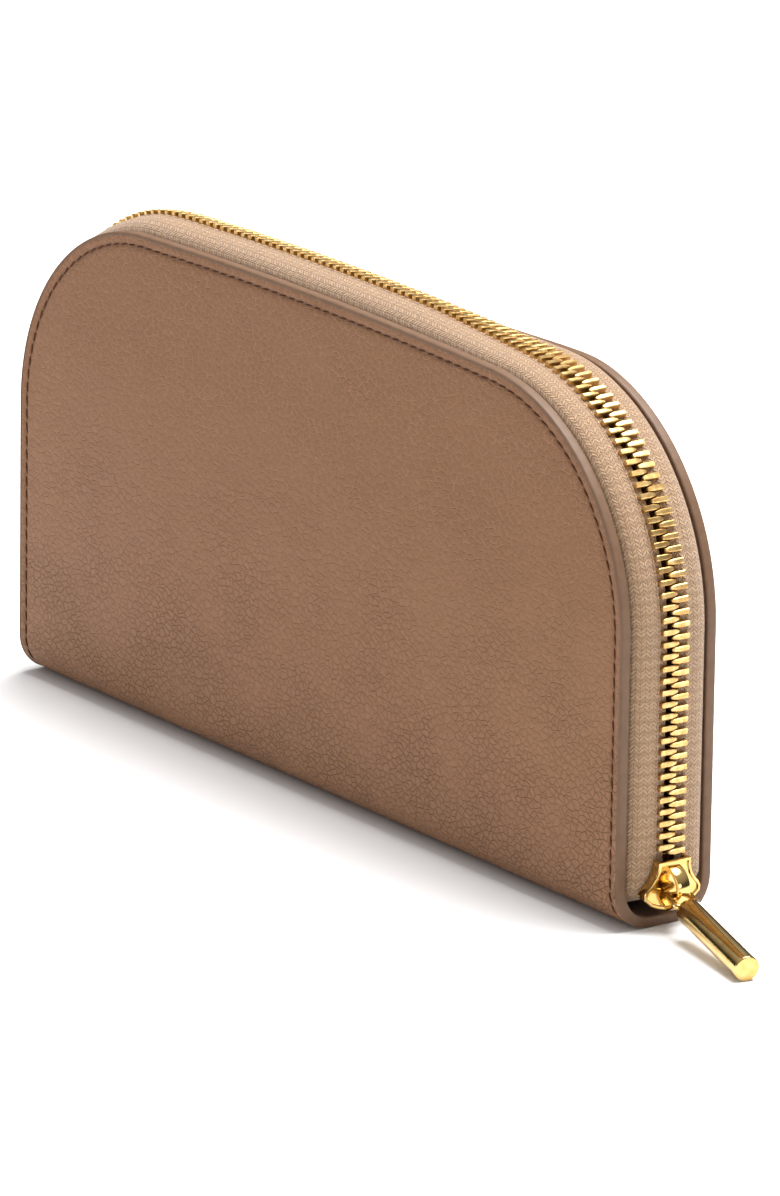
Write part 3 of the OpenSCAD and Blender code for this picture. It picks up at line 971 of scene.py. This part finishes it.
def makePlate(bm, x0, x1, wide, settings, dishOut):
    face = plateFace(bm, x0, wide, settings)
    made = bmesh.ops.extrude_face_region(bm, geom=[face])["geom"]
    bmesh.ops.translate(bm, verts=vertsIn(made), vec=(x1 - x0, 0, 0))
    lid = facesIn(made)[0]
    roundOff(bm, list(lid.edges) + list(face.edges), settings["bevel"], 2)
    if dishOut:
        lid = max(bm.faces, key=lambda f: (round(f.calc_center_median().x, 3), f.calc_area()))
        bmesh.ops.inset_region(bm, faces=[lid], thickness=settings["rim"], use_even_offset=True,
                               use_boundary=True)
        bmesh.ops.inset_region(bm, faces=[lid], thickness=0.16, depth=-settings["dish"],
                               use_even_offset=True, use_boundary=True)


def makeSlider(settings):
    bm = bmesh.new()
    o0, o1 = settings["innerX"], settings["outerX"]
    makePlate(bm, o1, o1 + settings["plate"], settings["wide"], settings, True)
    inner = bmesh.new()
    makePlate(inner, o0 - settings["plate"], o0, settings["innerWide"], settings, False)
    mesh = bpy.data.meshes.new("innerPlate")
    inner.to_mesh(mesh)
    inner.free()
    bm.from_mesh(mesh)
    bpy.data.meshes.remove(mesh)
    # side walls follow the flared shoulders
    for wide, x0, x1 in ((settings["wide"], o1 - 1.25, o1 + 0.3),
                         (settings["innerWide"], o0 - 0.3, o0 + 0.75)):
        for side in (-1, 1):
            points = platePoints(wide, settings)[1:8]
            verts = [bm.verts.new((x0, side * (y - settings["wallInset"]), z)) for y, z in points]
            edges = [bm.edges.new(pair) for pair in zip(verts, verts[1:])]
            wall = bmesh.ops.extrude_edge_only(bm, edges=edges)["geom"]
            bmesh.ops.translate(bm, verts=vertsIn(wall), vec=(x1 - x0, 0, 0))
            thick = bmesh.ops.extrude_face_region(bm, geom=facesIn(wall))["geom"]
            bmesh.ops.translate(bm, verts=vertsIn(thick), vec=(0, -side * settings["wallThick"], 0))
    # the wedge that parts the teeth
    radius = settings["wedgeRadius"]
    wedge = bmesh.ops.create_cone(bm, segments=4, radius1=radius, radius2=radius,
                                  depth=o1 - o0 + 0.4, cap_ends=True)["verts"]
    place = Matrix.Translation(((o0 + o1) / 2, 0, settings["low"] + settings["wedgeUp"]))
    size = Matrix.Diagonal((1, settings["wedgeWide"], settings["wedgeTall"], 1))
    turn = Matrix.Rotation(math.pi / 2, 4, "Y")
    bmesh.ops.transform(bm, matrix=place @ size @ turn, verts=wedge)
    leanSlider(bm)
    bmesh.ops.recalc_face_normals(bm, faces=bm.faces[:])
    piece = finishPiece("sliderBody", bm, "gold", smooth=40)
    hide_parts("slider_body")
    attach(piece, "slider")


bridge = {"centreZ": 8.3, "radius": 4.5, "thick": 0.9, "width": 2.8, "below": 1.15, "steps": 28}


def makeBridge(settings):
    # a band bent over the outer plate
    outerFace = slider["outerX"] + slider["plate"]
    centre = Vector((outerFace - settings["below"], 0, settings["centreZ"]))
    reach = math.acos((settings["below"] - 0.4) / settings["radius"])
    bm = bmesh.new()
    made = bmesh.ops.create_grid(bm, x_segments=1, y_segments=1, size=0.5)["verts"]
    bmesh.ops.scale(bm, vec=(settings["thick"], settings["width"], 1), verts=made)
    bmesh.ops.translate(bm, vec=centre + Vector((settings["radius"] - settings["thick"] / 2, 0, 0)),
                        verts=made)
    bmesh.ops.rotate(bm, cent=centre, matrix=Matrix.Rotation(reach, 3, "Y"), verts=made)
    bmesh.ops.spin(bm, geom=bm.faces[:], cent=centre, axis=(0, 1, 0), angle=-2 * reach,
                   steps=settings["steps"])
    bmesh.ops.recalc_face_normals(bm, faces=bm.faces[:])
    edges = [e for e in bm.edges if e.calc_face_angle(0) > 0.9]
    roundOff(bm, edges, 0.18, 2)
    bmesh.ops.translate(bm, vec=(0, slider["shift"], 0), verts=bm.verts[:])
    piece = finishPiece("sliderBridge", bm, "gold", smooth=40)
    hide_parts("slider_bridge")
    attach(piece, "slider")


puller = {
    "pivot": (102.275, 0, 7.3),
    "droop": math.radians(9.1),
    "turn": math.radians(14.06),
    "start": 4.6,
    "length": 25.8,
    "radius": 2.5,
    "nearRound": 0.75,
    "farRound": 0.28,
    "nearShift": (0, -0.5, -0.8),
    "farShift": (0, 0.2, 0.02),
    "wire": 0.62,
    "halfGap": 2.15,
    "bend": 1.0,
}


def pullerPlace(settings):
    return (Matrix.Translation(settings["pivot"]) @ Matrix.Rotation(-settings["turn"], 4, "Z")
            @ Matrix.Rotation(settings["droop"], 4, "Y"))


def barPlace(settings):
    # the bar hangs a little off the loop's own line
    place, start = pullerPlace(settings), settings["start"]
    near = place @ Vector((start, 0, 0)) + Vector(settings["nearShift"])
    far = place @ Vector((start + settings["length"], 0, 0)) + Vector(settings["farShift"])
    turn = (far - near).to_track_quat("X", "Z")
    return Matrix.Translation(near) @ turn.to_matrix().to_4x4()


def makeBar(settings):
    # a profile from the loop's end to the far end, spun round its own axis
    radius, end = settings["radius"], settings["length"]
    bm = bmesh.new()
    verts = [bm.verts.new((x, 0, z)) for x, z in (
        (0, 0), (0, radius - 0.9), (0, radius), (1.2, radius),
        (end - 1.2, radius), (end, radius), (end, radius - 0.9), (end, 0))]
    for pair in zip(verts, verts[1:]):
        bm.edges.new(pair)
    roundOff(bm, [verts[2]], settings["nearRound"], 6, "VERTICES")
    roundOff(bm, [verts[5]], settings["farRound"], 4, "VERTICES")
    bmesh.ops.spin(bm, geom=bm.verts[:] + bm.edges[:], cent=(0, 0, 0), axis=(1, 0, 0),
                   angle=2 * math.pi, steps=72, use_merge=True)
    bmesh.ops.remove_doubles(bm, verts=bm.verts[:], dist=0.001)
    bmesh.ops.recalc_face_normals(bm, faces=bm.faces[:])
    bmesh.ops.transform(bm, matrix=barPlace(settings), verts=bm.verts[:])
    piece = finishPiece("pullerBar", bm, "gold", smooth=30)
    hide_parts("puller_bar")
    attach(piece, "puller")


def makeLoop(settings):
    # one half of a rounded wire loop, mirrored
    gap, start, bend = settings["halfGap"], settings["start"], settings["bend"]
    bm = bmesh.new()
    made = bmesh.ops.create_circle(bm, segments=14, radius=settings["wire"])["verts"]
    bmesh.ops.rotate(bm, cent=(0, 0, 0), matrix=Matrix.Rotation(math.pi / 2, 3, "X"), verts=made)

    def extrudeOn(vec):
        edges = [e for e in bm.edges if e.select]
        grown = bmesh.ops.extrude_edge_only(bm, edges=edges)["geom"]
        for edge in edges:
            edge.select = False
        for edge in edgesIn(grown):
            if len(edge.link_faces) == 1:
                edge.select = True
        bmesh.ops.translate(bm, vec=vec, verts=vertsIn(grown))

    def spinOn(cent, turn):
        edges = [e for e in bm.edges if e.select]
        spun = bmesh.ops.spin(bm, geom=edges, cent=cent, axis=(0, 0, 1), angle=turn, steps=6)
        for edge in edges:
            edge.select = False
        for edge in edgesIn(spun["geom_last"]):
            edge.select = True

    for edge in bm.edges:
        edge.select = True
    extrudeOn((0, gap - bend, 0))
    spinOn((bend, gap - bend, 0), -math.pi / 2)
    extrudeOn((start - 2 * bend + 0.2, 0, 0))
    spinOn((start - bend + 0.2, gap - bend, 0), -math.pi / 2)
    extrudeOn((0, -(gap - bend), 0))
    bmesh.ops.mirror(bm, geom=allOf(bm), axis="Y", merge_dist=0.001)
    bmesh.ops.recalc_face_normals(bm, faces=bm.faces[:])
    bmesh.ops.translate(bm, vec=(0, slider["shift"], 0), verts=bm.verts[:])
    bmesh.ops.transform(bm, matrix=pullerPlace(settings), verts=bm.verts[:])
    piece = finishPiece("pullerLoop", bm, "gold", smooth=60)
    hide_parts("puller_loop")
    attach(piece, "puller")


makeSlider(slider)
makeBridge(bridge)
makeBar(puller)
makeLoop(puller)
print("slider ready")


# ---- inside: lining, card slots and centre pocket

inside = {
    "liningThick": 0.62,
    "liningInset": 4.0,
    "liningFoot": 2,        # how far above the bottom fold the lining starts
    "slotThick": 0.36,
    "slotInset": 5.0,
    "slotFoot": 3,
    "slotReach": 90,
    "slotBack": 1.15,       # the last slot's place in front of the backing
    "slotSpacing": 0.4,
    "slotStep": 11.0,
    "slotLow": 37.0,
    "turnedEdge": 2.4,
    "turnedProud": 0.1,
    "stitch": (0.22, 0.18, 0.95),
    "stitchLow": 13.5,
    "stitchStep": 2.2,
    "stitchCount": 24,
    "stitchOut": 0.42,
    "pocketWidth": 164.0,
    "pocketTop": 80.0,
    "pocketFull": 0.5,
    "pocketThick": 0.42,
}


def archFace(bm, inset, low):
    # outline of one half, standing in X-Z and closed across the bottom
    vert = bm.verts.new((halfWidth - inset, 0, low))
    vert = bmesh.ops.extrude_vert_indiv(bm, verts=[vert])["verts"][0]
    bmesh.ops.translate(bm, verts=[vert], vec=(0, 0, cornerZ - low))
    for centre, turn, count in (((cornerX, 0, cornerZ), crownTurn, 24),
                                ((0, 0, crownZ), math.pi / 2 - crownTurn, 12)):
        spun = bmesh.ops.spin(bm, geom=[vert], cent=centre, axis=(0, 1, 0), angle=-turn,
                              steps=count)
        vert = spun["geom_last"][0]
    bmesh.ops.mirror(bm, geom=bm.verts[:] + bm.edges[:], axis="X", merge_dist=0.01)
    ends = sorted(bm.verts, key=lambda v: v.co.z)[:2]
    bm.edges.new(ends)
    return bmesh.ops.contextual_create(bm, geom=bm.edges[:])["faces"][0]


def standSheet(bm, near, far, side):
    # from the flat face at y = 0 to a thin body between two depths
    made = bmesh.ops.extrude_face_region(bm, geom=bm.faces[:])["geom"]
    bmesh.ops.translate(bm, verts=bm.verts[:], vec=(0, side * near, 0))
    bmesh.ops.translate(bm, verts=vertsIn(made), vec=(0, side * (far - near), 0))
    bmesh.ops.recalc_face_normals(bm, faces=bm.faces[:])


def roundRims(bm, offset):
    rims = [e for e in bm.edges if e.calc_face_angle(0) > 1.0
            and abs(e.verts[0].co.y - e.verts[1].co.y) < 0.001]
    roundOff(bm, rims, offset, 2)


def makeLining(name, side, node, body, settings):
    inset, foot = settings["liningInset"], foldRadius + settings["liningFoot"]
    bm = bmesh.new()
    area = archFace(bm, inset, foot).calc_area() * mm ** 2
    near = innerY - tape["thick"] - 0.02
    standSheet(bm, near, near - settings["liningThick"], side)
    roundRims(bm, 0.2)
    piece = finishPiece(name, bm, "lining")
    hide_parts(node)
    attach(piece, body)


def slotDepth(number, settings):
    # each higher slot lies nearer to the backing
    return innerY - settings["slotBack"] - (4 - number) * settings["slotSpacing"]


def makeCardSlot(name, side, number, node, body, settings):
    top = settings["slotLow"] + (number - 1) * settings["slotStep"]
    foot, reach = foldRadius + settings["slotFoot"], settings["slotReach"]
    bm = bmesh.new()
    archFace(bm, settings["slotInset"], foot)
    bmesh.ops.bisect_plane(bm, geom=allOf(bm), plane_co=(0, 0, top), plane_no=(0, 0, 1),
                           clear_outer=True)
    for edgeX in (-reach, reach):
        bmesh.ops.bisect_plane(bm, geom=allOf(bm), plane_co=(edgeX, 0, 0),
                               plane_no=(edgeX, 0, 0), clear_outer=True)
    bmesh.ops.bisect_plane(bm, geom=allOf(bm), plane_co=(0, 0, top - settings["turnedEdge"]),
                           plane_no=(0, 0, 1))
    near = slotDepth(number, settings) - 0.02
    area = sum(face.calc_area() for face in bm.faces) * mm ** 2
    standSheet(bm, near, near - settings["slotThick"], side)
    # the turned edge stands a little proud of the sheet
    strip = [f for f in bm.faces if abs(f.normal.y) > 0.9 and f.normal.y * side < 0
             and f.calc_center_median().z > top - settings["turnedEdge"]]
    bmesh.ops.inset_region(bm, faces=strip, thickness=0.12, depth=settings["turnedProud"],
                           use_boundary=True, use_even_offset=True)
    piece = finishPiece(name, bm, "card")
    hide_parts(node)
    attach(piece, body)


def makeDivider(name, side, body, settings):
    # the stitched line down the middle that parts the slots into two columns
    bm = bmesh.new()
    size = Matrix.Diagonal((*settings["stitch"], 1))
    for i in range(settings["stitchCount"]):
        z = settings["stitchLow"] + i * settings["stitchStep"]
        above = math.floor((z + 1 - settings["slotLow"]) / settings["slotStep"])
        number = min(max(above + 2, 1), 4)
        y = slotDepth(number, settings) - settings["stitchOut"]
        bmesh.ops.create_uvsphere(bm, u_segments=8, v_segments=6, radius=1,
                                  matrix=Matrix.Translation((0, side * y, z)) @ size)
    piece = finishPiece(name, bm, "thread", smooth=80)
    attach(piece, body)


def makePocketWall(name, y0, node, settings):
    bm = bmesh.new()
    made = bmesh.ops.create_grid(bm, x_segments=48, y_segments=20, size=0.5)["verts"]
    height = settings["pocketTop"] - sheetThick
    bmesh.ops.scale(bm, vec=(settings["pocketWidth"], height, 1), verts=made)
    bmesh.ops.rotate(bm, cent=(0, 0, 0), matrix=Matrix.Rotation(math.pi / 2, 3, "X"), verts=made)
    bmesh.ops.translate(bm, vec=(0, 0, sheetThick + height / 2), verts=made)
    side = 1 if y0 > 0 else -1
    for vert in bm.verts:
        up = ease(sheetThick, settings["pocketTop"], vert.co.z)
        inner = 1 - (2 * vert.co.x / settings["pocketWidth"]) ** 2
        vert.co.y = y0 + side * settings["pocketFull"] * up * inner
    bmesh.ops.solidify(bm, geom=bm.faces[:], thickness=settings["pocketThick"])
    piece = finishPiece(name, bm, "card")
    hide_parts(node)
    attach(piece, "rear_half")


for halfName, side in (("front", -1), ("rear", 1)):
    halfBody = halfName + "_half"
    makeLining(halfName + "Lining", side, halfName + "_lining", halfBody, inside)
    for number in (1, 2, 3, 4):
        makeCardSlot(f"{halfName}CardSlot{number}", side, number,
                     f"{halfName}_card_slot_{number}", halfBody, inside)
    makeDivider(halfName + "Divider", side, halfBody, inside)
makePocketWall("pocketRear", 1.1, "pocket_rear_wall", inside)
makePocketWall("pocketFront", -1.1, "pocket_front_wall", inside)
print("inside ready")
